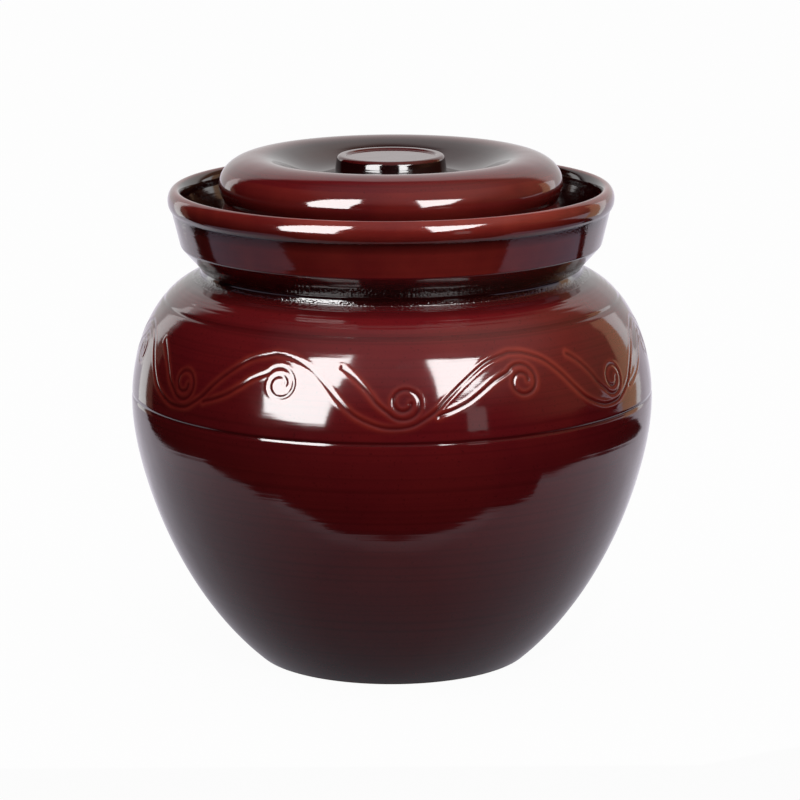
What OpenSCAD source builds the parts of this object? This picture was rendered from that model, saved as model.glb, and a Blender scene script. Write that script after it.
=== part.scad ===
// Water seal pickle jar: a stoneware jar with a water channel round its neck,
// a hollow outer lid whose skirt stands in that channel, and a flat inner lid
// on a ledge inside the mouth. Origin at the centre of the foot, +Z up.

/* [Jar body] */
// Diameter at the widest point of the belly
belly_d = 259.3; // [240:0.1:290]
// Height of the widest point above the foot
belly_z = 130; // [120:0.5:136]
// Diameter of the foot where the body curve starts
foot_d = 137.2; // [120:0.1:150]
// Rise of the body just above the foot, in degrees from level
foot_slope = 41; // [36:0.5:46]
// Length of the nearly straight run above the foot
foot_reach = 55; // [45:0.5:60]
// Length of the nearly upright run below the widest point
belly_reach = 30; // [20:0.5:36]
// Radius of the foot's outer corner
foot_round = 4; // [2:0.1:6]
// Width of the flat ring that the jar stands on
foot_ring_w = 12; // [6:0.1:18]
// Depth of the hollow under the base
foot_recess = 3; // [1:0.1:4]
// Width of the shoulder's quarter ellipse
shoulder_w = 40; // [37:0.1:44]
// Height of the shoulder's quarter ellipse
shoulder_h = 63.5; // [60:0.1:66]
// Thickness of the body wall
wall = 7; // [5:0.1:9]
// Height of the cavity floor above the foot
base_t = 10; // [8:0.1:14]
// Radius where the cavity floor turns into the wall
floor_round = 12; // [6:0.1:16]

/* [Turned lines] */
// Height of the line on the shoulder, above the widest point
shoulder_line_h = 51.5; // [46:0.1:55]
// Height of the line at the belly, above the widest point
belly_line_h = 4.8; // [1:0.1:10]
// Width of each turned line
line_w = 2.2; // [1.2:0.1:3]
// Depth of each turned line
line_d = 0.7; // [0.4:0.05:1]

/* [Neck and water channel] */
// Diameter of the neck between the shoulder and the channel
neck_d = 189.4; // [187:0.1:192]
// Height of the neck's upright part above the shoulder
neck_h = 5; // [4:0.1:7]
// Outward lean of the channel's underside, in degrees from upright
flare_slope = 42; // [38:0.5:46]
// Width of the channel's underside
flare_w = 9.6; // [8:0.1:11]
// Diameter over the rolled rim
rim_d = 220.6; // [219:0.1:226]
// Height of the rim above the channel floor
rim_h = 27.4; // [25:0.1:31]
// Width of the roll
roll_w = 7.4; // [6:0.1:8.4]
// Height of the roll
roll_h = 11.6; // [10:0.1:13]
// Step from the roll in to the channel wall below it
roll_step = 0.5; // [0.3:0.05:1.4]
// Height of the channel floor above the foot
channel_z = 209; // [208:0.1:211]
// Thickness of the channel's outer wall
channel_wall = 6.4; // [5:0.1:7.5]
// Radius of the corners of the channel floor
channel_round = 4; // [2:0.1:5]

/* [Mouth] */
// Outer diameter of the mouth wall that stands in the channel
mouth_d = 149; // [146:0.1:151]
// Thickness of the mouth wall
mouth_wall = 6.5; // [5.5:0.1:7.5]
// Height of the mouth wall above the channel floor
mouth_h = 23; // [21:0.1:24]
// Height of the inner lid's ledge above the channel floor
ledge_h = 7; // [4:0.1:8]
// Width of the ledge
ledge_w = 4.5; // [3.5:0.1:6]
// Height of the straight throat below the ledge
throat_h = 10; // [8:0.1:11]

/* [Inner lid] */
// Gap all round between the inner lid and the mouth
inner_gap = 0.9; // [0.6:0.1:1.5]
// Thickness of the inner lid
inner_t = 6; // [4:0.1:7]
// Rounding of the inner lid's edge
inner_round = 1.6; // [0.8:0.1:1.9]
// Diameter of the inner lid's knob
inner_knob_d = 26; // [22:0.1:30]
// Diameter of the waist under that knob
inner_waist_d = 18; // [14:0.1:19]
// Height of that knob above the inner lid
inner_knob_h = 9.5; // [8:0.1:10.5]

/* [Outer lid] */
// Diameter of the lid's rounded cap
cap_d = 170; // [168:0.1:174]
// Height of the cap above its widest line
cap_h = 14; // [12:0.1:15]
// Diameter of the ring along the cap's highest line
crest_d = 134; // [128:0.1:138]
// Height of the lid from the foot of its skirt to the crest
lid_h = 43; // [42:0.1:45]
// Angle by which the cap turns under below its widest line
cap_turn = 26; // [15:1:30]
// Length of the straight run from the cap in to the waist
waist_run = 2.4; // [1.5:0.1:3]
// Diameter of the skirt's lip
lip_d = 175.5; // [173:0.1:178]
// Height of the lip above the foot of the skirt
lip_h = 6.5; // [5:0.1:9]
// Width of the skirt's foot
skirt_foot_w = 6.2; // [5:0.1:6.6]
// Radius of the corners of the skirt's foot
skirt_round = 1.8; // [1:0.1:2.2]
// Thickness of the lid's wall
lid_t = 6.5; // [5.5:0.1:7]
// Depth of the dish round the knob
dish_h = 10.5; // [9:0.1:12]
// Diameter of the flat floor of the dish
dish_d = 66; // [60:0.1:74]
// Diameter of the knob at its top
knob_d = 53; // [48:0.1:54]
// Diameter of the knob at its base
knob_base_d = 56; // [54:0.1:59]
// Rounding of the knob's top edge
knob_round = 2; // [1:0.1:3]
// Depth of the hollow in the knob's top
knob_recess = 0.9; // [0.4:0.1:1.5]
// Width of the raised rim round that hollow
knob_rim_w = 5; // [4:0.1:8]

/* [Hidden] */
glaze = "#4f1c1c";
CURVE_STEPS = 24;
CORNER_STEPS = 5;

// Body: the outer wall, and the inner wall one thickness in from it
belly_r = belly_d / 2;
foot_r = foot_d / 2;
foot_z = foot_round * (1 - cos(foot_slope));
slope = [cos(foot_slope), sin(foot_slope)];
shoulder_x = belly_r - shoulder_w;
neck_r = neck_d / 2;
neck_blend = 1;
shoulder_end = acos((neck_r + neck_blend - shoulder_x) / shoulder_w);
shoulder_top = belly_z + shoulder_h * sin(shoulder_end);
inside_z = base_t + floor_round * (1 - cos(foot_slope));
inside_run = (inside_z - foot_z - wall * cos(foot_slope)) / sin(foot_slope);
inside_r = foot_r - wall * sin(foot_slope) + inside_run * cos(foot_slope);
inside_trim = 4;
inside_end = shoulder_end - inside_trim;
throat_pull = 6;
neck_pull = 24;
neck_round = 3;

// Channel: the roll, and the wall that carries it
neck_top = shoulder_top + neck_h;
flare_r = neck_r + flare_w;
flare_z = neck_top + flare_w / tan(flare_slope);
rim_z = channel_z + rim_h;
roll_x = rim_d / 2 - roll_w / 2;
roll_z = rim_z - roll_h / 2;
roll_from = -52;
roll_to = 196;
roll_foot = [roll_x + roll_w / 2 * cos(roll_from), roll_z + roll_h / 2 * sin(roll_from)];
roll_end = [roll_x + roll_w / 2 * cos(roll_to), roll_z + roll_h / 2 * sin(roll_to)];
wall_top = roll_foot - [roll_step, roll_step];
wall_lean = (wall_top.x - flare_r) / (wall_top.y - flare_z);
channel_r = flare_r - channel_wall + wall_lean * (channel_z - flare_z);

// Mouth
mouth_r = mouth_d / 2;
bore_r = mouth_r - mouth_wall;
mouth_z = channel_z + mouth_h;
ledge_z = channel_z + ledge_h;
throat_r = bore_r - ledge_w;
throat_z = ledge_z - throat_h;
mouth_round_share = 0.45;
mouth_round = mouth_wall * mouth_round_share;
edge_round = 0.8;

// Inner lid, seated on the ledge
inner_r = bore_r - inner_gap;
inner_top = ledge_z + inner_t;
inner_knob_top = inner_top + inner_knob_h;
inner_waist_round = 2;
inner_knob_round = 1.5;
inner_knob_edge = 1;

// Outer lid, its skirt standing on the channel floor
cap_r = cap_d / 2;
crest_r = crest_d / 2;
crest_z = channel_z + lid_h;
cap_z = crest_z - cap_h;
lip_r = lip_d / 2;
lip_z = channel_z + lip_h;
skirt_in_r = lip_r - skirt_foot_w - edge_round;
lid_in_r = cap_r - lid_t;
dish_z = crest_z - dish_h;
dish_r = dish_d / 2;
dish_pull = 13;
knob_rim_round = 1;
waist_round = 3;
lip_round = 1.5;
skirt_bend = 6;
cap_end = [crest_r + (cap_r - crest_r) * cos(cap_turn), cap_z - cap_h * sin(cap_turn)];
waist = cap_end - waist_run * unit([(cap_r - crest_r) * sin(cap_turn), cap_h * cos(cap_turn)]);

// Points along part of an ellipse round [x, z], from one angle to another
function arc(x, z, rx, rz, from, to, steps) =
    [for (i = [0 : steps])
        let (a = from + (to - from) * i / steps)
        [x + rx * cos(a), z + rz * sin(a)]];

// Points along a cubic Bezier curve
function bezier(a, b, c, d) =
    [for (i = [0 : CURVE_STEPS])
        let (t = i / CURVE_STEPS, u = 1 - t)
        u * u * u * a + 3 * u * u * t * b + 3 * u * t * t * c + t * t * t * d];

function unit(v) = v / norm(v);

// Points of the arc that rounds the corner b of the line a, b, c
function corner(a, b, c, radius) =
    let (
        u = unit(a - b),
        v = unit(c - b),
        half = acos(u * v) / 2,
        centre = b + unit(u + v) * radius / sin(half),
        first = b + u * radius / tan(half) - centre,
        last = b + v * radius / tan(half) - centre,
        start = atan2(first.y, first.x),
        turn = (atan2(last.y, last.x) - start + 540) % 360 - 180
    )
    arc(centre.x, centre.y, radius, radius, start, start + turn, CORNER_STEPS);

// A line of points [r, z, rounding], with each inner corner rounded
function rounded(line) =
    let (flat = [for (p = line) [p.x, p.y]])
    [for (i = [0 : len(line) - 1])
        each (line[i].z == 0 ? [flat[i]]
            : corner(flat[i - 1], flat[i], flat[i + 1], line[i].z))];

function reversed(line) = [for (i = [len(line) - 1 : -1 : 0]) line[i]];

// The bend from a level floor up into a slope, ending at radius r
function heel(r, z, radius) =
    arc(r - radius * sin(foot_slope), z + radius, radius, radius,
        -90, foot_slope - 90, CORNER_STEPS);

// Wall of the body from the bend to the belly, inset by the given thickness
function body_side(r, z, reach, inset) =
    bezier([r, z], [r, z] + reach * slope,
        [belly_r - inset, belly_z - belly_reach], [belly_r - inset, belly_z]);

function shoulder(inset, end) =
    arc(shoulder_x, belly_z, shoulder_w - inset, shoulder_h - inset, 0, end, CURVE_STEPS);

// Foot, body wall and shoulder up to the neck, from the centre outwards
function jar_outside() = concat(
    [[0, foot_recess], [foot_r - foot_ring_w - foot_recess, foot_recess],
        [foot_r - foot_ring_w, 0]],
    heel(foot_r, 0, foot_round),
    body_side(foot_r, foot_z, foot_reach, 0),
    shoulder(0, shoulder_end));

// Neck, channel wall with its roll, channel floor and mouth wall
function jar_channel() = concat(
    rounded([
        [neck_r + neck_blend, shoulder_top, 0],
        [neck_r, shoulder_top + neck_blend, 0],
        [neck_r, neck_top, neck_round],
        [flare_r, flare_z, neck_round],
        [wall_top.x, wall_top.y, 0]]),
    arc(roll_x, roll_z, roll_w / 2, roll_h / 2, roll_from, roll_to, CURVE_STEPS),
    rounded([
        [roll_end.x, roll_end.y, 0],
        [channel_r, channel_z, channel_round],
        [mouth_r, channel_z, channel_round],
        [mouth_r, mouth_z, mouth_round],
        [bore_r, mouth_z, mouth_round],
        [bore_r, ledge_z, edge_round],
        [throat_r, ledge_z, edge_round],
        [throat_r, throat_z, 0]]));

// Inside of the shoulder and the body, down to the middle of the floor
function jar_inside() =
    let (
        top = shoulder(wall, inside_end),
        end = top[CURVE_STEPS],
        run = unit(end - top[CURVE_STEPS - 1])
    )
    concat(
        bezier([throat_r, throat_z], [throat_r, throat_z - throat_pull],
            end + neck_pull * run, end),
        reversed(top),
        reversed(body_side(inside_r, inside_z, foot_reach - inside_run, wall)),
        reversed(heel(inside_r, base_t, floor_round)),
        [[0, base_t]]);

module turned_line(height) {
    angle = asin(height / shoulder_h);
    rotate_extrude()
        translate([shoulder_x + shoulder_w * cos(angle), belly_z + height])
            rotate(angle)
                translate([line_w / 2 - line_d, 0])
                    circle(d = line_w, $fn = CURVE_STEPS);
}

module jar() {
    color(glaze)
        difference() {
            rotate_extrude()
                polygon(concat(jar_outside(), jar_channel(), jar_inside()));
            turned_line(shoulder_line_h);
            turned_line(belly_line_h);
        }
}

module inner_lid() {
    color(glaze)
        rotate_extrude()
            polygon(rounded([
                [0, ledge_z, 0],
                [inner_r, ledge_z, inner_round],
                [inner_r, inner_top, inner_round],
                [inner_waist_d / 2, inner_top, inner_waist_round],
                [inner_waist_d / 2, inner_knob_top - inner_knob_h / 2, inner_knob_round],
                [inner_knob_d / 2, inner_knob_top - inner_knob_h / 3, inner_knob_edge],
                [inner_knob_d / 2, inner_knob_top, inner_knob_round],
                [0, inner_knob_top, 0]]));
}

// Knob, dish and cap, from the middle outwards and down to the waist
function lid_outside() = concat(
    rounded([
        [0, crest_z - knob_recess, 0],
        [knob_d / 2 - knob_rim_w, crest_z - knob_recess, knob_rim_round],
        [knob_d / 2 - knob_rim_w + knob_recess, crest_z, knob_rim_round],
        [knob_d / 2, crest_z, knob_round],
        [knob_base_d / 2, dish_z, knob_round],
        [dish_r, dish_z, 0]]),
    bezier([dish_r, dish_z], [dish_r + dish_pull, dish_z],
        [crest_r - dish_pull, crest_z], [crest_r, crest_z]),
    reversed(arc(crest_r, cap_z, cap_r - crest_r, cap_h, -cap_turn, 90, CURVE_STEPS)));

// Skirt: the waist, the lip and the foot, in to the lid's inner wall
function lid_skirt() =
    rounded([
        [cap_end.x, cap_end.y, 0],
        [waist.x, waist.y, waist_round],
        [lip_r, lip_z, lip_round],
        [lip_r - edge_round, channel_z, skirt_round],
        [skirt_in_r, channel_z, skirt_round],
        [lid_in_r, waist.y - cap_h, skirt_bend],
        [lid_in_r, cap_z, 0]]);

function lid_inside() = concat(
    arc(crest_r, cap_z, cap_r - crest_r - lid_t, cap_h - lid_t, 0, 90, CURVE_STEPS),
    bezier([crest_r, crest_z - lid_t], [crest_r - dish_pull, crest_z - lid_t],
        [dish_r + dish_pull, dish_z - lid_t], [dish_r, dish_z - lid_t]),
    [[0, dish_z - lid_t]]);

module outer_lid() {
    color(glaze)
        rotate_extrude()
            polygon(concat(lid_outside(), lid_skirt(), lid_inside()));
}

jar();
inner_lid();
outer_lid();
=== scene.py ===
import bpy
import numpy as np
from mathutils import Matrix, Vector


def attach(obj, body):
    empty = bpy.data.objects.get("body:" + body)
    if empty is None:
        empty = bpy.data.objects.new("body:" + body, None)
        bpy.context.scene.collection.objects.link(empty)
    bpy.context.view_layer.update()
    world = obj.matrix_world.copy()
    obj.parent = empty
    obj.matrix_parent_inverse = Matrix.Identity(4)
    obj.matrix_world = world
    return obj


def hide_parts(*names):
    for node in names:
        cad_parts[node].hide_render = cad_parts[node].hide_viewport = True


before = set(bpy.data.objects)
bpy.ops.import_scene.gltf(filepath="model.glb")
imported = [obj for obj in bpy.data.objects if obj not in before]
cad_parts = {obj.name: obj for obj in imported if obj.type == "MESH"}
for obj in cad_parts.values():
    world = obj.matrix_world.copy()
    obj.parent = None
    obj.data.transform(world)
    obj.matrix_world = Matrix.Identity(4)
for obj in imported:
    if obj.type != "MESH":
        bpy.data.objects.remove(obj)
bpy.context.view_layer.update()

# The jar: one thrown stoneware pot. A round belly, a sharp neck, then a collar with a rolled rim
# that makes the water channel, and the mouth wall standing in that channel. Turned lines, finer
# throwing lines and a running scroll mark its shoulder before it is dipped in brown glaze.
MM = 0.001

# Foot and body, in mm and degrees: R, X and W are measured outwards, Z and H upwards, and a reach
# is how far a curve's pull goes from its end
FOOT_R = 68.6
FOOT_SLOPE = 41.0          # of the body's side just above the foot, from level
FOOT_ROUND = 4.0
FOOT_REACH = 55.0
HOLLOW_R = 53.6            # the hollow under the foot
HOLLOW_H = 3.0
BASE_Z = 10.0              # the floor inside
FLOOR_ROUND = 12.0
WALL = 7.0
BELLY_R = 129.6
BELLY_Z = 130.0
BELLY_REACH = 30.0
SHOULDER_X = 89.6          # middle of the shoulder's quarter ellipse
SHOULDER_W = 40.0
SHOULDER_H = 63.5
SHOULDER_IN_TURN = 77.3    # how far round its inside goes, up to the throat

# Neck, collar and roll
NECK_R = 94.7
NECK_H = 5.0
NECK_LEDGE = 1.0
NECK_ROUND = 0.6
FLARE_OUT = 9.6            # the cone from the neck out to the collar
FLARE_ANGLE = 42.0         # of that cone, from upright
FLARE_ROUND = 3.0
COLLAR_WALL = 6.4          # thickness beside the channel
RIM_R = 110.3
RIM_Z = 236.4
ROLL_W = 3.7
ROLL_H = 5.8
ROLL_TURN = (-52, 196)     # from the step under it, over the top, to its inner side
ROLL_STEP = 0.5            # how far it stands proud of the collar

# Channel, mouth wall with its ledge, and throat
CHANNEL_Z = 209.0
CHANNEL_ROUND = 4.0
MOUTH_R = 74.5
MOUTH_WALL = 6.5
MOUTH_Z = 232.0
MOUTH_ROUND = 2.92
LEDGE_Z = 216.0
LEDGE_ROUND = 0.8
THROAT_R = 63.5
THROAT_Z = 206.0
THROAT_REACH = (6.0, 24.0) # at the throat, and at the shoulder's inside


def arc(x, z, rx, rz, start, end, steps):
    """Points of an ellipse round (x, z): x + rx cos a, z + rz sin a, for a from start to end in degrees."""
    a = np.radians(np.linspace(start, end, steps + 1))
    return np.column_stack((x + rx * np.cos(a), z + rz * np.sin(a)))


def bezier(a, b, c, d, steps):
    """Points of a cubic curve from a to d, pulled towards b and c: u^3 a + 3 u^2 t b + 3 u t^2 c + t^3 d."""
    t = np.linspace(0, 1, steps + 1)[:, None]
    u = 1 - t
    a, b, c, d = (np.array(p, float) for p in (a, b, c, d))
    return u**3 * a + 3 * u * u * t * b + 3 * u * t * t * c + t**3 * d


def unit(v):
    """The vector v with length 1."""
    return v / np.linalg.norm(v)


def rounded(points, steps=6):
    """The line through (r, z, radius) points, with an arc of that radius in place of each corner.

    The arc's centre lies on the corner's middle line, radius / sin(half the corner's angle) away.
    """
    p = np.array(points, float)
    parts = [p[:1, :2]]
    for before, here, after in zip(p[:-2], p[1:-1], p[2:]):
        corner, radius = here[:2], here[2]
        u = unit(before[:2] - corner)
        v = unit(after[:2] - corner)
        half = np.arccos(u @ v) / 2
        centre = corner + unit(u + v) * radius / np.sin(half)
        first = corner + u * radius / np.tan(half) - centre
        last = corner + v * radius / np.tan(half) - centre
        start = np.degrees(np.arctan2(first[1], first[0]))
        turn = (np.degrees(np.arctan2(last[1], last[0])) - start + 540) % 360 - 180
        parts.append(arc(*centre, radius, radius, start, start + turn, steps))
    return np.vstack(parts + [p[-1:, :2]])


def braced(line, gap=0.4, longest=6.0):
    """The same line with a point close to each end of every long straight run, and the run divided."""
    out = [line[:1]]
    for a, b in zip(line[:-1], line[1:]):
        size = np.linalg.norm(b - a)
        if size > 5 * gap:
            t = np.linspace(gap / size, 1 - gap / size, 2 + int(size / longest))[:, None]
            out.append(a + t * (b - a))
        out.append(b[None])
    return np.vstack(out)


# The outside, from the middle of the foot up to the roll. The shoulder's rows lie close together
# where a line or the scroll is pressed in.
slope = np.array([np.cos(np.radians(FOOT_SLOPE)), np.sin(np.radians(FOOT_SLOPE))])
heel = arc(FOOT_R - FOOT_ROUND * slope[1], FOOT_ROUND, FOOT_ROUND, FOOT_ROUND, -90, FOOT_SLOPE - 90, 8)
foot = braced(np.array([(0, HOLLOW_H), (HOLLOW_R, HOLLOW_H), (HOLLOW_R + HOLLOW_H, 0), heel[0]]))
side = bezier(heel[-1], heel[-1] + FOOT_REACH * slope, (BELLY_R, BELLY_Z - BELLY_REACH),
              (BELLY_R, BELLY_Z), 44)

SCROLL_LOW, SCROLL_HIGH = 139.4, 176.2
low_z = np.concatenate((np.linspace(130.6, 132, 3), np.linspace(132.3, 137.3, 20), [138.4]))
scroll_z = np.linspace(SCROLL_LOW, SCROLL_HIGH, 54)
high_z = np.concatenate(([177.2, 178.2], np.linspace(178.8, 184.2, 22), np.linspace(184.6, 192.3, 32)))


def shoulder(z):
    """Points of the shoulder at the heights z: the quarter ellipse x + w sqrt(1 - ((z - z0) / h)^2)."""
    return np.column_stack((SHOULDER_X + SHOULDER_W * np.sqrt(1 - ((z - BELLY_Z) / SHOULDER_H)**2), z))


roll = arc(RIM_R - ROLL_W, RIM_Z - ROLL_H, ROLL_W, ROLL_H, *ROLL_TURN, 30)
wall_top = roll[0] - ROLL_STEP
ledge_r = NECK_R + NECK_LEDGE
shoulder_top = BELLY_Z + SHOULDER_H * np.sqrt(1 - ((ledge_r - SHOULDER_X) / SHOULDER_W)**2)
neck_top = shoulder_top + NECK_H
flare = np.array([NECK_R + FLARE_OUT, neck_top + FLARE_OUT / np.tan(np.radians(FLARE_ANGLE))])
collar = braced(rounded([
    (ledge_r, shoulder_top, 0), (NECK_R, shoulder_top + NECK_LEDGE, NECK_ROUND),
    (NECK_R, neck_top, FLARE_ROUND), (*flare, FLARE_ROUND), (*wall_top, 0)], 8))

# The inside, from the roll down through the channel, over the mouth wall and down to the floor
lean = (wall_top[0] - flare[0]) / (wall_top[1] - flare[1])
channel_r = flare[0] - COLLAR_WALL + lean * (CHANNEL_Z - flare[1])
mouth_in = MOUTH_R - MOUTH_WALL
channel = braced(rounded([
    (*roll[-1], 0), (channel_r, CHANNEL_Z, CHANNEL_ROUND), (MOUTH_R, CHANNEL_Z, CHANNEL_ROUND),
    (MOUTH_R, MOUTH_Z, MOUTH_ROUND), (mouth_in, MOUTH_Z, MOUTH_ROUND),
    (mouth_in, LEDGE_Z, LEDGE_ROUND), (THROAT_R, LEDGE_Z, LEDGE_ROUND), (THROAT_R, THROAT_Z, 0)]))
shoulder_in = arc(SHOULDER_X, BELLY_Z, SHOULDER_W - WALL, SHOULDER_H - WALL, 0, SHOULDER_IN_TURN, 16)
throat = bezier((THROAT_R, THROAT_Z), (THROAT_R, THROAT_Z - THROAT_REACH[0]),
                shoulder_in[-1] + THROAT_REACH[1] * unit(shoulder_in[-1] - shoulder_in[-2]),
                shoulder_in[-1], 10)
floor_z = BASE_Z + FLOOR_ROUND * (1 - slope[0])
inside_run = (floor_z - heel[-1, 1] - WALL * slope[0]) / slope[1]
floor_r = FOOT_R - WALL * slope[1] + inside_run * slope[0]
floor_end = np.array((floor_r, floor_z))
side_in = bezier(floor_end, floor_end + (FOOT_REACH - inside_run) * slope,
                 (BELLY_R - WALL, BELLY_Z - BELLY_REACH), (BELLY_R - WALL, BELLY_Z), 16)
floor_in = arc(floor_r - FLOOR_ROUND * slope[1], BASE_Z + FLOOR_ROUND, FLOOR_ROUND, FLOOR_ROUND,
               -90, FOOT_SLOPE - 90, 5)

# A row is r, z, and how many columns it has: many only where the scroll is, and fewest inside
FINE, COARSE, INSIDE = 1232, 112, 56


def rows(line, columns):
    """The points of a line with their number of columns beside them."""
    return np.column_stack((line, np.full(len(line), float(columns))))


jar_rows = np.vstack((
    rows(foot, COARSE), rows(heel[1:], COARSE), rows(side[1:], COARSE), rows(shoulder(low_z), COARSE),
    rows(shoulder(scroll_z), FINE), rows(shoulder(high_z), COARSE), rows(collar, COARSE),
    rows(roll[1:], COARSE), rows(channel[1:], INSIDE), rows(throat[1:], INSIDE),
    rows(shoulder_in[-2::-1], INSIDE), rows(side_in[-2::-1], INSIDE), rows(floor_in[-2::-1], INSIDE),
    rows([(0, BASE_Z)], INSIDE)))


def stations(line):
    """Columns and first vertex of each swept row, and each vertex's row and turn in degrees.

    The first and last row are the poles, with one vertex each. The turn runs from -180 at the back.
    """
    count = line[:, 2].astype(int)
    count[0] = count[-1] = 1
    first = np.concatenate(([0], np.cumsum(count)))
    row = np.repeat(np.arange(len(line)), count)
    turn = (np.arange(len(row)) - first[row]) / count[row] * 360 - 180
    return count, first, row, turn


def turned(line, relief=0.0, warp=0.0):
    """A closed mesh swept round the axis from rows (r, z, columns), whose first and last r are 0.

    A vertex at the angle a is ((r + h n) sin a, -(r + h n) cos a, z + h m), with (n, m) the line's
    outward normal, h the relief there, and a = u + warp sin u for the even turn u. Fans join two
    rows that have different columns. Returns vertices, quads and triangles.
    """
    count, first, row, turn = stations(line)
    along = np.gradient(line[:, :2], axis=0)
    along /= np.linalg.norm(along, axis=1)[:, None]
    u = np.radians(turn)
    a = u + warp * np.sin(u)
    out = line[row, 0] + relief * along[row, 1]
    verts = np.column_stack((out * np.sin(a), -out * np.cos(a), line[row, 1] - relief * along[row, 0]))
    verts[[0, -1], :2] = 0
    quads, tris = [], []
    for i in range(len(line) - 1):
        low, high = first[i], first[i + 1]
        grows = count[i] < count[i + 1]
        few, many = sorted((count[i], count[i + 1]))
        j = np.arange(few)
        k = (j + 1) % few
        if few == many:
            quads.append(np.column_stack((low + j, low + k, high + k, high + j)))
            continue
        fine, base = (high, low) if grows else (low, high)
        if few == 1:
            s = np.arange(many)
            fans = [(np.full(many, base), fine + (s + 1) % many, fine + s)]
        else:
            each = many // few
            s = j[:, None] * each + np.arange(each)
            tip = base + np.where(np.arange(each) < each // 2, j[:, None], k[:, None])
            fans = [(tip, fine + (s + 1) % many, fine + s), (base + j, base + k, fine + s[:, each // 2])]
        for fan in fans:
            tris.append(np.stack(fan if grows else fan[::-1], axis=-1).reshape(-1, 3))
    return verts, np.vstack(quads), np.vstack(tris)


# How the glaze lies on a piece, a number from 0 to 1 for each vertex: run thin over an edge, pooled
# in a hollow, wiped off to the bare clay, or dried to a rough crust. The pool mark also carries painted
# shade in the neck, the channel and under the roll, and the thin mark painted light down the collar
MARKS = ("thin_and_painted_light", "pool_and_painted_shade", "bare", "dry")


def mesh_piece(name, surface, marks):
    """A smooth mesh object from a turned surface, put in metres. A mark that isn't given is 0 all over."""
    verts, quads, tris = surface
    mesh = bpy.data.meshes.new(name)
    loops = np.concatenate((quads.ravel(), tris.ravel()))
    starts = np.concatenate((np.arange(len(quads)) * 4, len(quads) * 4 + np.arange(len(tris)) * 3))
    mesh.vertices.add(len(verts))
    mesh.vertices.foreach_set("co", (verts * MM).astype(np.float32).ravel())
    mesh.loops.add(len(loops))
    mesh.loops.foreach_set("vertex_index", loops.astype(np.int32))
    mesh.polygons.add(len(starts))
    mesh.polygons.foreach_set("loop_start", starts.astype(np.int32))
    mesh.update(calc_edges=True)
    mesh.validate()
    mesh.shade_smooth()
    for mark in MARKS:
        values = np.zeros(len(verts)) + marks.get(mark, 0)
        mesh.attributes.new(mark, "FLOAT", "POINT").data.foreach_set("value", values.astype(np.float32))
    piece = bpy.data.objects.new(name, mesh)
    bpy.context.scene.collection.objects.link(piece)
    return piece


# The scroll, drawn in degrees round the jar and mm of height: a wave, and a curl in each of its hollows
SCROLL_REPEATS = 7
PERIOD = 360 / SCROLL_REPEATS
MM_PER_DEGREE = 2.17
CURL_R = (8.3, 3.0)
CURL_TURN = 500


def smooth_line(points, steps=10):
    """A curve through every point: a cubic between each two, whose slope at each follows its neighbours."""
    p = np.array(points, float)
    p = np.vstack((2 * p[0] - p[1], p, 2 * p[-1] - p[-2]))
    t = np.linspace(0, 1, steps, endpoint=False)[:, None]
    a, b, c, d = p[:-3, None], p[1:-2, None], p[2:-1, None], p[3:, None]
    curve = b + 0.5 * t * (c - a + t * (2 * a - 5 * b + 4 * c - d + t * (3 * (b - c) + d - a)))
    return np.vstack((curve.reshape(-1, 2), p[-2]))


def curl(lead, centre, start, turn):
    """A line that runs along lead and winds into a spiral: its radius shrinks evenly with the angle."""
    t = np.linspace(0, 1, 28)
    a = np.radians(start + turn * t)
    r = CURL_R[0] + (CURL_R[1] - CURL_R[0]) * t
    spiral = np.column_stack((centre[0] + r * np.cos(a) / MM_PER_DEGREE, centre[1] + r * np.sin(a)))
    return smooth_line(np.vstack((lead, spiral)), 6)


wave = smooth_line([
    (-25.7, 173.5), (-22, 172.6), (-17.4, 168.7), (-14, 162.5), (-10.5, 154.2), (-7.3, 147.8),
    (-3, 143.4), (0, 142.3), (3.3, 142.9), (5.7, 145.3), (8.8, 150), (11, 155), (14.2, 161.3),
    (18, 167.4), (21, 170.8), (25.7, 173.5)])
low_curl = curl([
    (-10.5, 169.4), (-9.45, 168), (-7.75, 165.3), (-6.1, 161.8), (-4.45, 157.8), (-3, 153.6)],
    (2.45, 154), 215, CURL_TURN)
high_curl = curl([
    (9.2, 147.4), (9.9, 148.1), (12.3, 149.9), (15.6, 153.2), (18.9, 158), (21.5, 161.8)],
    (27.9, 160.3), 145, -CURL_TURN)


def scroll_distance(u, z):
    """The distance in mm from each point (u in degrees, z in mm) to the nearest line of the scroll.

    It is the least distance to any short run of a line, from p to p + v: that of the point
    p + t v, where t is the share of the run that brings it closest, kept from 0 to 1.
    """
    x = ((u + PERIOD / 2) % PERIOD - PERIOD / 2) * MM_PER_DEGREE
    reach = 0.6 * PERIOD * MM_PER_DEGREE
    best = np.full(x.shape, np.inf)
    for line in (wave, low_curl, high_curl):
        for shift in (-PERIOD, 0, PERIOD):
            points = (line + (shift, 0)) * (MM_PER_DEGREE, 1)
            close = np.abs(points[:-1, 0]) < reach
            for p, v in zip(points[:-1][close], np.diff(points, axis=0)[close]):
                dx, dz = x - p[0], z - p[1]
                t = np.clip((dx * v[0] + dz * v[1]) / (v @ v), 0, 1)
                best = np.minimum(best, np.hypot(dx - t * v[0], dz - t * v[1]))
    return best


def soft(d, width):
    """A bell of height 1 that falls off with the distance d: e to the power -(d / width)^2."""
    return np.exp(-(d / width)**2)


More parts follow.
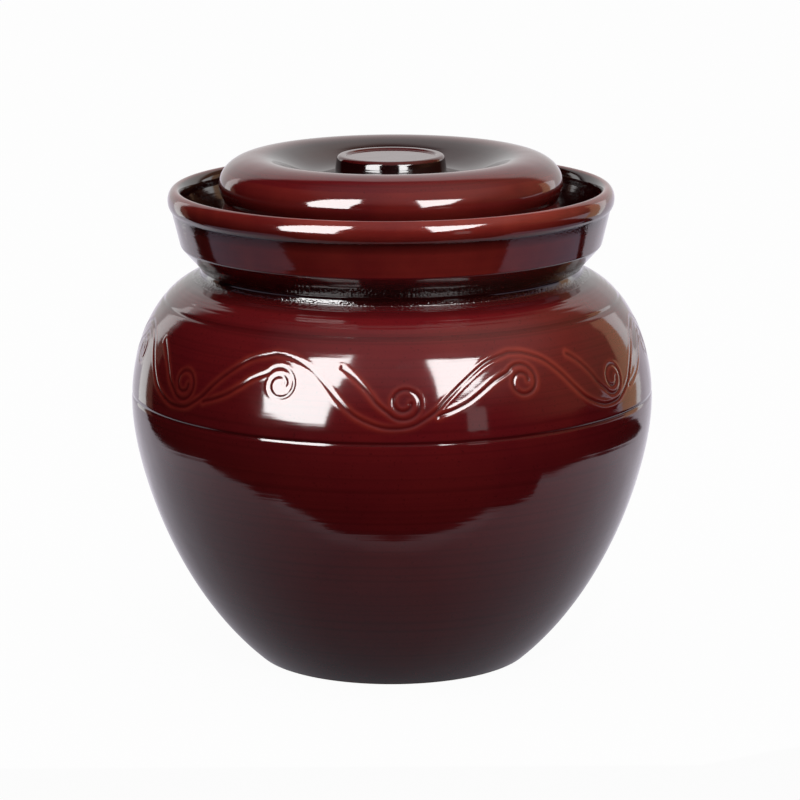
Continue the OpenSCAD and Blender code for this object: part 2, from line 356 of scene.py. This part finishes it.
# What is cut or pressed into the clay, in mm: heights, widths and depths of the lines, and the
# scroll's groove with the low bank that it raises on either side. The columns are spread unevenly,
# by the share HAND_DRAWN, so the repeats are wider in front, as on a scroll drawn by hand.
SHOULDER_LINE, BELLY_LINE = 181.5, 134.8
LINE_W = 0.85
LINE_D = 0.27
THROWN_LINES = (186.2, 188.0, 189.4, 191.2)
THROWN_W = 0.45
THROWN_D = 0.06
GROOVE_W = 0.66
GROOVE_D = 0.28
BANK_AT = 1.45
BANK_W = 0.6
BANK_H = 0.12
HAND_DRAWN = 0.06

row, turn = stations(jar_rows)[2:]
radius, height, columns = jar_rows[row].T
outer = columns != INSIDE
scrolled = columns == FINE
near = scroll_distance(turn[scrolled], height[scrolled])


def zone(heights, radii):
    """True for the vertices of the outside that lie between two heights and between two radii."""
    return outer & (height > heights[0]) & (height < heights[1]) & (radius > radii[0]) & (radius < radii[1])


relief = -LINE_D * (soft(height - SHOULDER_LINE, LINE_W) + soft(height - BELLY_LINE, LINE_W))
relief -= THROWN_D * sum(soft(height - level, THROWN_W) for level in THROWN_LINES)
relief *= zone((BELLY_Z, 192.4), (80, 130))
pressed = BANK_H * soft(near - BANK_AT, BANK_W) - GROOVE_D * soft(near, GROOVE_W)
to_plain = np.minimum(height[scrolled] - SCROLL_LOW, SCROLL_HIGH - height[scrolled])
relief[scrolled] += pressed * np.clip(to_plain, 0, 1)

# Glaze pools in the lines and the scroll, and lies thin over the scroll's banks
LINE_POOL, LINE_POOL_W = 0.35, 1.1
SCROLL_POOL, SCROLL_POOL_W = 0.4, 0.7
BANK_THIN_W = 1.1
pool_and_painted_shade, thin_and_painted_light, dry = np.zeros((3, len(row)))
for level in (SHOULDER_LINE, BELLY_LINE):
    pool_and_painted_shade[outer & (np.abs(height - level) < LINE_POOL_W)] = LINE_POOL
pool_and_painted_shade[scrolled] = SCROLL_POOL * soft(near, SCROLL_POOL_W)
thin_and_painted_light[scrolled] = soft(near - BANK_AT, BANK_THIN_W)

# It runs thin over the roll and pools again on the roll's inner side. Less so down the collar, where
# the lighter colour is painted light, bounced up from the shoulder.
COLLAR_TOP = RIM_Z - 12.5
COLLAR_PAINTED_LIGHT = 0.6
ROLL_THIN_Z, ROLL_THIN_FADE, ROLL_THIN_LEAST = RIM_Z - 3, 14, 0.4
INNER_SIDE, INNER_SIDE_FADE = RIM_R - 4.5, 1.2
on_roll = zone((COLLAR_TOP, RIM_Z + 1), (102, RIM_R + 1))
from_top = np.abs(height[on_roll] - ROLL_THIN_Z)
thin_and_painted_light[on_roll] = np.clip(1 - from_top / ROLL_THIN_FADE, ROLL_THIN_LEAST, 1)
# Painted light: the collar below the roll is drawn lighter and rustier, for light bounced up from the
# shoulder
thin_and_painted_light[zone((CHANNEL_Z, COLLAR_TOP), (104, RIM_R))] = COLLAR_PAINTED_LIGHT
# Pooled glaze on the roll's inner side, which also paints the shade inside the channel
inner_side = on_roll & (radius < INNER_SIDE)
pool_and_painted_shade[inner_side] = np.clip((INNER_SIDE - radius[inner_side]) / INNER_SIDE_FADE, 0, 1)

# It is darkest in the neck and in the channel, where pooled glaze also paints the shade of the
# neck's undercut and of the channel's inside. A rough crust lies where it gathered on the neck's
# ledge, and a thinner one in the step under the roll, whose dark line is painted shade under the roll
NECK_SHADE_Z, NECK_SHADE_FADE, NECK_POOL_AND_SHADE = 199.0, 6, 1.6
STEP_POOL_AND_SHADE, STEP_CRUST = 0.8, 0.3
neck = zone((188, 213), (80, 107))
# Pooled glaze and painted shade: the neck's undercut darkens most at its middle height, fading above and
# below
pool_and_painted_shade[neck] = np.clip(NECK_POOL_AND_SHADE - np.abs(height[neck] - NECK_SHADE_Z) / NECK_SHADE_FADE, 0, 1)
# Painted shade: the channel and the inside next to it are drawn as fully pooled near-black glaze
pool_and_painted_shade[~outer & (height > CHANNEL_Z - 1) & (radius > MOUTH_R - 2)] = 1
dry[zone((192, 194.6), (80, 100))] = 1
under_roll = zone((RIM_Z - 12.6, RIM_Z - 10), (107, RIM_R))
# Painted shade: a dark line of pooled glaze in the step, standing in for the roll's shadow
pool_and_painted_shade[under_roll] = STEP_POOL_AND_SHADE
dry[under_roll] = STEP_CRUST

jar = mesh_piece("stoneware_jar", turned(jar_rows, relief, HAND_DRAWN),
                 {"pool_and_painted_shade": pool_and_painted_shade, "thin_and_painted_light": thin_and_painted_light, "dry": dry, "bare": height < 0.9})


def linear(code):
    """The linear colour of an sRGB hex code: c / 12.92 where dark, else ((c + 0.055) / 1.055) ** 2.4."""
    c = np.array([int(code[i:i + 2], 16) / 255 for i in (1, 3, 5)])
    return (*np.where(c <= 0.04045, c / 12.92, ((c + 0.055) / 1.055)**2.4), 1.0)


def add(tree, kind, links=(), values=(), **settings):
    """A node of the kind, with its settings, socket values {socket: value} and links {socket: output}."""
    node = tree.nodes.new("ShaderNode" + kind)
    for key, value in settings.items():
        setattr(node, key, value)
    for key, value in dict(values).items():
        node.inputs[key].default_value = value
    for key, output in dict(links).items():
        tree.links.new(output, node.inputs[key])
    return node


def new_material(name):
    """An empty node material: its tree, its output node and the material."""
    material = bpy.data.materials.new(name)
    material.use_nodes = True
    material.node_tree.nodes.clear()
    return material.node_tree, add(material.node_tree, "OutputMaterial"), material


# A Mix node's sockets: its factor, its two numbers and its two colours, and where the colour comes out
FACTOR, NUMBER_A, NUMBER_B, COLOUR_A, COLOUR_B = 0, 2, 3, 6, 7
MIXED = 2

# Stoneware dipped in an iron-brown slip glaze and fired glossy. Thick and almost black in the
# grooves, oxblood on the walls, and where it runs thin off an edge the rusty body shows through.
# The same near black also paints shade in the neck, in the channel and under the roll, and the
# rusty colour paints light bounced up onto the collar.
GLAZE_THICK_AND_SHADE = "#1c0606"
GLAZE_WALL = "#651419"
GLAZE_WARM = "#6c181a"
GLAZE_THIN_AND_LIT = "#902f26"
BARE_CLAY = "#a58a72"
POOL_MOST = 0.95
GLAZE_IOR = 1.55
GLAZE_ROUGH = (0.05, 0.12)
CRUST_ROUGH = 0.08
CLAY_ROUGH = 0.8

# Its patterns in mm: clouds of warmer glaze two fingers wide, slow ripples of its skin, and the fine
# rings that the thrower's rib leaves 2 to 3 mm apart. Iron specks and the clay's sand are really
# about 0.3 mm, and are drawn coarser so that they show.
CLOUD = 35.7
RIPPLE, RIPPLE_H = 22.2, 0.25
RING, RING_H = 2.63, 0.03
SPECK, SAND, GRAIN_H = 1.25, 0.667, 0.3


def per_metre(mm):
    """The scale of a noise on coordinates in metres whose patches are that many mm across."""
    return 1 / (mm * MM)


def brown_glaze(name):
    """The whole glaze material: colour by thickness, gloss with soft ripples, and bare clay below."""
    tree, out, material = new_material(name)
    place = add(tree, "TexCoord").outputs["Object"]
    up = add(tree, "SeparateXYZ", {0: place}).outputs["Z"]
    thin_and_painted_light, pool_and_painted_shade, bare, dry = (add(tree, "Attribute", attribute_name=mark).outputs["Fac"] for mark in MARKS)
    clouds = add(tree, "TexNoise", {"Vector": place},
                 {"Scale": per_metre(CLOUD), "Detail": 3, "Roughness": 0.55}).outputs["Fac"]
    rings = add(tree, "TexNoise", {"W": up}, {"Scale": per_metre(RING), "Detail": 3},
                noise_dimensions="1D").outputs["Fac"]
    specks, sand, ripples = (
        add(tree, "TexNoise", {"Vector": place}, {"Scale": per_metre(size), "Detail": detail}).outputs["Fac"]
        for size, detail in ((SPECK, 1), (SAND, 2), (RIPPLE, 1)))

    # The wall's two reds in clouds, darker in streaks along the rings and in specks
    spread = {"From Min": 0.35, "From Max": 0.65}
    cloudy = add(tree, "MapRange", {"Value": clouds}, spread).outputs[0]
    wall = add(tree, "Mix", {FACTOR: cloudy}, {COLOUR_A: linear(GLAZE_WALL), COLOUR_B: linear(GLAZE_WARM)},
               data_type="RGBA").outputs[MIXED]
    streaks = add(tree, "MapRange", {"Value": rings},
                  {"From Min": 0.45, "From Max": 0.7, "To Max": 0.22}).outputs[0]
    speckled = add(tree, "MapRange", {"Value": specks},
                   {"From Min": 0.62, "From Max": 0.75, "To Max": 0.35}).outputs[0]
    darker = add(tree, "Math", {0: speckled, 1: streaks}, operation="MAXIMUM").outputs[0]
    dark = add(tree, "Mix", {FACTOR: darker, COLOUR_A: wall}, {COLOUR_B: linear(GLAZE_THICK_AND_SHADE)},
               data_type="RGBA").outputs[MIXED]

    # Rusty where it is thin, unevenly, and as painted light on the collar; near black where it pools,
    # and as painted shade in the neck, the channel and under the roll; bare clay where it was wiped off
    uneven = add(tree, "MapRange", {"Value": clouds}, {**spread, "To Min": 0.35}).outputs[0]
    thin_and_lit_part = add(tree, "Math", {0: thin_and_painted_light, 1: uneven}, operation="MULTIPLY").outputs[0]
    edged_and_lit = add(tree, "Mix", {FACTOR: thin_and_lit_part, COLOUR_A: dark}, {COLOUR_B: linear(GLAZE_THIN_AND_LIT)},
                data_type="RGBA").outputs[MIXED]
    pool_and_shade_part = add(tree, "Math", {0: pool_and_painted_shade}, {1: POOL_MOST}, operation="MULTIPLY").outputs[0]
    pooled_and_shaded = add(tree, "Mix", {FACTOR: pool_and_shade_part, COLOUR_A: edged_and_lit}, {COLOUR_B: linear(GLAZE_THICK_AND_SHADE)},
                 data_type="RGBA").outputs[MIXED]
    colour = add(tree, "Mix", {FACTOR: bare, COLOUR_A: pooled_and_shaded}, {COLOUR_B: linear(BARE_CLAY)},
                 data_type="RGBA").outputs[MIXED]

    # Its gloss varies with the clouds
    gloss = add(tree, "MapRange", {"Value": clouds},
                {"To Min": GLAZE_ROUGH[0], "To Max": GLAZE_ROUGH[1]}).outputs[0]
    crusty = add(tree, "Mix", {FACTOR: dry, NUMBER_A: gloss}, {NUMBER_B: CRUST_ROUGH}).outputs[0]
    rough = add(tree, "Mix", {FACTOR: bare, NUMBER_A: crusty}, {NUMBER_B: CLAY_ROUGH}).outputs[0]

    # Its surface: rings, ripples, and grain only where it is crusty or bare
    thrown = add(tree, "Bump", {"Height": rings}, {"Strength": 1.0, "Distance": RING_H * MM}).outputs[0]
    rippled = add(tree, "Bump", {"Height": ripples, "Normal": thrown},
                  {"Strength": 1.0, "Distance": RIPPLE_H * MM}).outputs[0]
    sandy = add(tree, "Math", {0: sand, 1: bare}, operation="MULTIPLY").outputs[0]
    grain = add(tree, "Math", {0: specks, 1: dry, 2: sandy}, operation="MULTIPLY_ADD").outputs[0]
    grainy = add(tree, "Bump", {"Height": grain, "Normal": rippled},
                 {"Strength": 1.0, "Distance": GRAIN_H * MM}).outputs[0]
    shader = add(tree, "BsdfPrincipled", {"Base Color": colour, "Roughness": rough, "Normal": grainy},
                 {"IOR": GLAZE_IOR})
    tree.links.new(shader.outputs[0], out.inputs["Surface"])
    return material


jar.data.materials.append(brown_glaze("brown_slip_glaze_on_stoneware"))
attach(jar, "jar_body")
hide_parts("jar")

# The inner lid: a flat glazed disc with a small knob, loose on the ledge inside the mouth. It is
# wiped bare underneath, so that it doesn't stick to the kiln shelf.
INNER_R = 67.1
INNER_T = 6.0
INNER_ROUND = 1.6
INNER_TOP = LEDGE_Z + INNER_T
STEM_R = 9.0
BUTTON_R = 13.0
BUTTON_H = 9.5
inner_line = braced(rounded([
    (0, LEDGE_Z, 0), (INNER_R, LEDGE_Z, INNER_ROUND), (INNER_R, INNER_TOP, INNER_ROUND),
    (STEM_R, INNER_TOP, 2), (STEM_R, INNER_TOP + BUTTON_H / 2, 1.5),
    (BUTTON_R, INNER_TOP + BUTTON_H * 2 / 3, 1), (BUTTON_R, INNER_TOP + BUTTON_H, 1.5),
    (0, INNER_TOP + BUTTON_H, 0)]))
inner_rows = rows(inner_line, COARSE)
radius, height, columns = inner_rows[stations(inner_rows)[2]].T
round_stem = (height > INNER_TOP - 1) & (radius > 8.5) & (radius < 12)
edges = (radius > 65.5) | ((radius > 11) & (height > INNER_TOP + 8))
inner_lid = mesh_piece("inner_lid_disc", turned(inner_rows), {
    "pool_and_painted_shade": 0.6 * round_stem, "thin_and_painted_light": 0.9 * edges, "bare": height < LEDGE_Z + 1})
inner_lid.data.materials.append(brown_glaze("brown_slip_glaze_on_inner_lid"))
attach(inner_lid, "inner_lid_body")
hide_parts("inner_lid")

# The outer lid: a hollow thrown cap with a fat rounded rim, a dish and a low knob in its middle.
# Its skirt stands in the water of the channel.
CAP_R = 85.0
CAP_Z = 238.0
CAP_H = 14.0
CAP_TURN = 26.0         # how far the cap's round side goes under level
CREST_R = 67.0          # the ring where the cap is highest
CREST_Z = CAP_Z + CAP_H
LID_T = 6.5
KNOB_R = 28.0
KNOB_TOP_R = 26.5
KNOB_DIP_R = 21.5       # the sunk middle of the knob's top
KNOB_DIP = 0.9
DISH_R = 33.0
DISH_Z = 241.5
DISH_REACH = 13.0
WAIST_RUN = 2.4         # from the end of the round side in to the waist
LIP_R = 87.75           # the skirt's widest, just above its foot
LIP_Z = 215.5
SKIRT_IN_R = 80.75
SKIRT_ROUND = 1.8

knob = rounded([
    (0, CREST_Z - KNOB_DIP, 0), (KNOB_DIP_R, CREST_Z - KNOB_DIP, 1), (KNOB_DIP_R + KNOB_DIP, CREST_Z, 1),
    (KNOB_TOP_R, CREST_Z, 2), (KNOB_R, DISH_Z, 2), (DISH_R, DISH_Z, 0)])
dish = bezier((DISH_R, DISH_Z), (DISH_R + DISH_REACH, DISH_Z), (CREST_R - DISH_REACH, CREST_Z),
              (CREST_R, CREST_Z), 30)
cap = arc(CREST_R, CAP_Z, CAP_R - CREST_R, CAP_H, 90, -CAP_TURN, 40)
last_run = np.array([(CAP_R - CREST_R) * np.sin(np.radians(CAP_TURN)), CAP_H * np.cos(np.radians(CAP_TURN))])
waist = cap[-1] - WAIST_RUN * unit(last_run)
skirt = rounded([
    (*cap[-1], 0), (*waist, 3), (LIP_R, LIP_Z, 1.5), (LIP_R - 0.8, CHANNEL_Z, SKIRT_ROUND),
    (SKIRT_IN_R, CHANNEL_Z, SKIRT_ROUND), (CAP_R - LID_T, waist[1] - CAP_H, 6), (CAP_R - LID_T, CAP_Z, 0)])
cap_in = arc(CREST_R, CAP_Z, CAP_R - CREST_R - LID_T, CAP_H - LID_T, 0, 90, 14)
dish_in = bezier((CREST_R, CREST_Z - LID_T), (CREST_R - DISH_REACH, CREST_Z - LID_T),
                 (DISH_R + DISH_REACH, DISH_Z - LID_T), (DISH_R, DISH_Z - LID_T), 14)
lid_line = np.vstack((knob, dish[1:], cap[1:], skirt[1:], cap_in[1:], dish_in[1:], [(0, DISH_Z - LID_T)]))
lid_rows = rows(braced(lid_line[::-1]), COARSE)
radius, height, columns = lid_rows[stations(lid_rows)[2]].T

# Glaze pools round the knob and in the dish, and lies thin over the cap's side and the knob's rim
top_side = height > DISH_Z - LID_T + 0.5
knob_side = top_side & (radius > 25.5) & (radius < 31) & (height < 250.5)
in_dish = top_side & (radius > 30)
knob_top = top_side & (radius < 27.5)
knob_rim = knob_top & (radius > 21) & (height > 250)
cap_side = (radius > 80) & (height < 246)
outer_lid = mesh_piece("outer_lid_cap", turned(lid_rows), {
    "pool_and_painted_shade": np.select([knob_side, in_dish, knob_top], [1.0, np.clip((66 - radius) / 8, 0, 0.9), 0.45]),
    "thin_and_painted_light": np.select([knob_rim, cap_side], [0.15, 0.5]),
    "bare": height < CHANNEL_Z + 0.4})
outer_lid.data.materials.append(brown_glaze("brown_slip_glaze_on_outer_lid"))
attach(outer_lid, "outer_lid_body")
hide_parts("outer_lid")

# The table: a plain white board that the jar stands on. The camera sees it white with the jar's
# soft shadow on it. The glaze mirrors it with a painted shadow of the jar in front of the jar, white
# further off, and with a painted strip of light along its front edge. From here on, places and sizes
# are in metres unless a comment says mm.
TABLE_HALF = 6.0
BOARD_WHITE = "#f4f4f4"
BOARD_BOUNCE = "#707070"
MIRRORED_WHITE = "#f8f3ff"
SEEN_WHITE = 0.965         # share of what the camera sees that is plain white: the rest shows the shadow
# Painted shadow: the glow that the glaze mirrors is dimmed round this middle, and painted light brightens it
# along the front edge
PAINTED_SHADOW_MIDDLE = (-0.015, -0.13, 0)
PAINTED_SHADOW_FROM, PAINTED_SHADOW_TO, PAINTED_SHADOW_LEAST = 0.05, 0.45, 0.24
PAINTED_LIGHT_FROM, PAINTED_LIGHT_TO, PAINTED_LIGHT_MOST = -0.176, -0.194, 0.22

tree, out, table_material = new_material("matt_white_board")
ray = add(tree, "LightPath").outputs
straight = add(tree, "Math", {0: ray["Is Camera Ray"], 1: ray["Is Transmission Ray"]},
               operation="ADD").outputs[0]
seen = add(tree, "Math", {0: straight}, {1: SEEN_WHITE}, operation="MULTIPLY").outputs[0]
share = add(tree, "Math", {0: seen, 1: ray["Is Glossy Ray"]}, operation="MAXIMUM").outputs[0]
shade = add(tree, "Mix", {FACTOR: ray["Is Diffuse Ray"]},
            {COLOUR_A: linear(BOARD_WHITE), COLOUR_B: linear(BOARD_BOUNCE)}, data_type="RGBA")
board = add(tree, "BsdfDiffuse", {"Color": shade.outputs[MIXED]}).outputs[0]
spot = add(tree, "TexCoord").outputs["Object"]
away = add(tree, "VectorMath", {0: spot}, {1: PAINTED_SHADOW_MIDDLE}, operation="DISTANCE").outputs["Value"]
painted_shadow = add(tree, "MapRange", {"Value": away},
          {"From Min": PAINTED_SHADOW_FROM, "From Max": PAINTED_SHADOW_TO, "To Min": PAINTED_SHADOW_LEAST, "To Max": 1.0}).outputs[0]
forward = add(tree, "SeparateXYZ", {0: spot}).outputs["Y"]
painted_light = add(tree, "MapRange", {"Value": forward},
          {"From Min": PAINTED_LIGHT_FROM, "From Max": PAINTED_LIGHT_TO, "To Max": PAINTED_LIGHT_MOST}).outputs[0]
mirrored = add(tree, "Math", {0: painted_shadow, 1: painted_light}, operation="ADD").outputs[0]
glow = add(tree, "Mix", {FACTOR: ray["Is Glossy Ray"], NUMBER_B: mirrored}, {NUMBER_A: 1.0}).outputs[0]
cool = add(tree, "Mix", {FACTOR: ray["Is Glossy Ray"]},
           {COLOUR_A: (1, 1, 1, 1), COLOUR_B: linear(MIRRORED_WHITE)}, data_type="RGBA").outputs[MIXED]
white = add(tree, "Emission", {"Strength": glow, "Color": cool}).outputs[0]
mixed = add(tree, "MixShader", {0: share, 1: board, 2: white}).outputs[0]
tree.links.new(mixed, out.inputs["Surface"])


def panel(name, corners, material, *unseen_by):
    """A flat stage piece through the corners, in metres, hidden from those kinds of ray."""
    mesh = bpy.data.meshes.new(name)
    mesh.from_pydata([tuple(c) for c in corners], [], [tuple(range(len(corners)))])
    mesh.update()
    mesh.materials.append(material)
    thing = bpy.data.objects.new(name, mesh)
    bpy.context.scene.collection.objects.link(thing)
    for ray_kind in unseen_by:
        setattr(thing, "visible_" + ray_kind, False)


panel("table", [(-TABLE_HALF, -TABLE_HALF, 0), (TABLE_HALF, -TABLE_HALF, 0),
                (TABLE_HALF, TABLE_HALF, 0), (-TABLE_HALF, TABLE_HALF, 0)], table_material)

# The dark round the board, which the glaze mirrors and the camera doesn't see: black cloth begins
# just in front of the jar, runs away slanting on the left and lies a little way out on the right.
EDGE_Y = -0.197
CLOTH_Z = 0.0006
CLOTH_BLACK = "#101010"
tree, out, dark_material = new_material("black_flock_cloth")
cloth = add(tree, "BsdfDiffuse", values={"Color": linear(CLOTH_BLACK)})
tree.links.new(cloth.outputs[0], out.inputs["Surface"])
for name, corners in (
        ("dark_front", [(-TABLE_HALF, -TABLE_HALF), (TABLE_HALF, -TABLE_HALF), (TABLE_HALF, EDGE_Y),
                        (-TABLE_HALF, EDGE_Y)]),
        ("dark_left", [(-0.18, EDGE_Y), (-0.21, -0.173), (-0.257, -0.153), (-0.32, -0.116),
                       (-0.386, -0.064), (-0.405, 0.062), (-0.42, 0.16), (-0.473, 0.279),
                       (-0.538, 0.412), (-5, TABLE_HALF), (-TABLE_HALF, TABLE_HALF),
                       (-TABLE_HALF, EDGE_Y)]),
        ("dark_right", [(0.14, EDGE_Y), (TABLE_HALF, EDGE_Y), (TABLE_HALF, 0.34), (0.36, 0.34),
                        (0.4, 0.14), (0.396, -0.025), (0.322, -0.125), (0.285, -0.172),
                        (0.25, -0.165), (0.217, -0.157), (0.175, -0.176)])):
    panel(name, [(x, y, CLOTH_Z) for x, y in corners], dark_material, "camera", "shadow")

# The windows: soft boxes left and right of the camera, narrow ones far round each side, and two
# warm walls. The glaze mirrors each as a glowing card, and no card sheds light on anything else.
CARD_FROM = np.array([0.0, -0.12, 0.155])


def facing(azimuth, elevation):
    """The way from the jar to what stands that many degrees round from the camera's side and up.

    It is (sin a cos e, -cos a cos e, sin e).
    """
    a, e = np.radians(azimuth), np.radians(elevation)
    return np.array([np.sin(a) * np.cos(e), -np.cos(a) * np.cos(e), np.sin(e)])


def card(name, corners, far, strength, colour="#ffffff"):
    """A glowing card with its corners at (azimuth, elevation) pairs, seen only by mirror-like rays."""
    tree, out, material = new_material(name + "_glow")
    lamp = add(tree, "Emission", values={"Strength": strength, "Color": linear(colour)})
    tree.links.new(lamp.outputs[0], out.inputs["Surface"])
    panel(name, [CARD_FROM + far * facing(*c) for c in corners], material, "camera", "diffuse", "shadow")


# Two dim level cards close under the channel, with corners in mm, give the leaning collar its pale
# veils. Only their tops glow, and from below they are clear, so the shoulder doesn't mirror them.
VEIL_Z = 178.0
VEIL_COLOUR = "#ebe2ff"
for name, strength, corners in (
        ("left_veil", 0.42, [(-182, -8), (-174, -54), (-158, -88), (-143, -113), (-130, -122),
                             (-107, -123), (-86, -122), (-106, -99), (-121, -79), (-134, -53),
                             (-146, -32)]),
        ("right_veil", 0.55, [(114, -115), (136, -119), (152, -97), (169, -64), (180, -20), (182, 10),
                              (147, -10), (129, -61), (116, -86), (94, -112)])):
    tree, out, material = new_material(name + "_glow")
    top = add(tree, "Emission", values={"Strength": strength, "Color": linear(VEIL_COLOUR)}).outputs[0]
    clear = add(tree, "BsdfTransparent").outputs[0]
    below = add(tree, "NewGeometry").outputs["Backfacing"]
    both = add(tree, "MixShader", {0: below, 1: top, 2: clear}).outputs[0]
    tree.links.new(both, out.inputs["Surface"])
    panel(name, [(x * MM, y * MM, VEIL_Z * MM) for x, y in corners], material,
          "camera", "diffuse", "shadow")

card("left_window", [(-63, 2), (-33, 0), (-29, 24), (-25, 36), (-28, 51), (-52, 44), (-66, 22)], 0.45, 19)
card("right_window", [(24, 11), (46, 23), (62, 39), (22, 48)], 0.4, 19)
card("door_glass", [(37, -5), (46, -5), (46, 9), (37, 9)], 0.4, 0.9)
card("left_strip", [(-146, -16), (-136, -16), (-134, 20), (-141, 26)], 0.9, 1.8)
card("right_strip", [(133, -12), (138, -12), (143, 12), (133, 20)], 0.9, 1.8)
card("brick_wall", [(119, -17), (133, -17), (133, 20), (125, 24)], 0.9, 1.0, "#ffcba2")
card("brown_wall", [(-136, -17), (-128, -17), (-128, 6), (-134, 14)], 0.9, 0.25, "#ffc0a8")

# The lamps: three weak soft boxes, and a key lamp in a snoot, whose pool of light fades towards the
# sides of the jar. The glaze doesn't mirror a lamp, because the cards stand for the windows.
LAMP_FAR = 1.6
BODY_MIDDLE = Vector((0, 0, 0.13))
SHOULDER_FRONT = Vector((0.02, -0.11, 0.18))


def hang(name, kind, azimuth, elevation, aim, **settings):
    """A lamp of the kind that way from the jar, turned to the aim and hidden from mirror-like rays."""
    lamp = bpy.data.lights.new(name, kind)
    for key, value in settings.items():
        setattr(lamp, key, value)
    thing = bpy.data.objects.new(name, lamp)
    bpy.context.scene.collection.objects.link(thing)
    place = Vector(CARD_FROM + LAMP_FAR * facing(azimuth, elevation))
    thing.location = place
    thing.rotation_euler = (aim - place).to_track_quat("-Z", "Y").to_euler()
    thing.visible_glossy = False


hang("left_box", "AREA", -42, 35, BODY_MIDDLE, energy=0.3, size=0.9)
hang("right_box", "AREA", 38, 35, BODY_MIDDLE, energy=0.6, size=0.9)
hang("overhead", "AREA", 10, 62, BODY_MIDDLE, energy=5.5, size=1.3)
hang("key", "SPOT", 8, 42, SHOULDER_FRONT, energy=64, shadow_soft_size=0.09, spot_size=np.radians(9),
     spot_blend=1.0)

# The room: for the camera it is white. In the glaze it is white behind the jar, dim above the
# camera and warm on the right, and matt surfaces get soft light from above.
WARM = "#ffc49a"
world = bpy.data.worlds.new("studio")
bpy.context.scene.world = world
world.use_nodes = True
tree = world.node_tree
tree.nodes.clear()
ray_way = add(tree, "TexCoord").outputs["Generated"]
ray = add(tree, "LightPath").outputs


def lobe(azimuth, elevation, outer, inner, strength):
    """A soft round patch of light: full within inner degrees of that way, and none beyond outer."""
    close = add(tree, "VectorMath", {0: ray_way}, {1: facing(azimuth, elevation)}, operation="DOT_PRODUCT")
    return add(tree, "MapRange", {"Value": close.outputs["Value"]},
               {"From Min": np.cos(np.radians(outer)), "From Max": np.cos(np.radians(inner)),
                "To Max": strength}, interpolation_type="SMOOTHSTEP").outputs[0]


behind = lobe(180, 12, 48, 40, 0.85)
above = lobe(20, 62, 62, 20, 0.34)
warm = lobe(95, 38, 62, 15, 0.35)
overhead = lobe(0, 90, 75, 20, 0.9)
plain = add(tree, "Math", {0: behind, 1: above}, operation="ADD").outputs[0]
whole = add(tree, "Math", {0: plain, 1: warm}, operation="ADD").outputs[0]
part = add(tree, "Math", {0: warm, 1: whole}, operation="DIVIDE").outputs[0]
tint = add(tree, "Mix", {FACTOR: part}, {COLOUR_A: (1, 1, 1, 1), COLOUR_B: linear(WARM)},
           data_type="RGBA").outputs[MIXED]
level = add(tree, "Mix", {FACTOR: ray["Is Glossy Ray"], NUMBER_A: overhead, NUMBER_B: whole}).outputs[0]
for kind in ("Is Camera Ray", "Is Transmission Ray"):
    level = add(tree, "Mix", {FACTOR: ray[kind], NUMBER_A: level}, {NUMBER_B: 1.0}).outputs[0]
hue = add(tree, "Mix", {FACTOR: ray["Is Glossy Ray"], COLOUR_B: tint}, {COLOUR_A: (1, 1, 1, 1)},
          data_type="RGBA").outputs[MIXED]
sky = add(tree, "Background", {"Strength": level, "Color": hue}).outputs[0]
tree.links.new(sky, add(tree, "OutputWorld").inputs["Surface"])

# The camera: 1.85 m from the jar and 12.3 degrees above level, with a long lens. It is held a
# little out of level, and the jar stands a hundredth of the picture's width off its middle.
FAR = 1.85
AIM = Vector((0, 0, 0.128))
LOOK_DOWN = np.radians(12.3)
TILT = np.radians(0.28)
SENSOR = 36
VIEW_WIDTH = 0.4
OFF_MIDDLE = 0.01
lens = bpy.data.cameras.new("camera")
lens.sensor_width = SENSOR
lens.lens = SENSOR * FAR / VIEW_WIDTH
lens.shift_x = OFF_MIDDLE
camera = bpy.data.objects.new("camera", lens)
bpy.context.scene.collection.objects.link(camera)
camera.location = AIM + FAR * Vector((0, -np.cos(LOOK_DOWN), np.sin(LOOK_DOWN)))
look = Matrix.Rotation(np.pi / 2 - LOOK_DOWN, 3, "X") @ Matrix.Rotation(-TILT, 3, "Z")
camera.rotation_euler = look.to_euler()
bpy.context.scene.camera = camera
bpy.context.scene.view_settings.view_transform = "Standard"
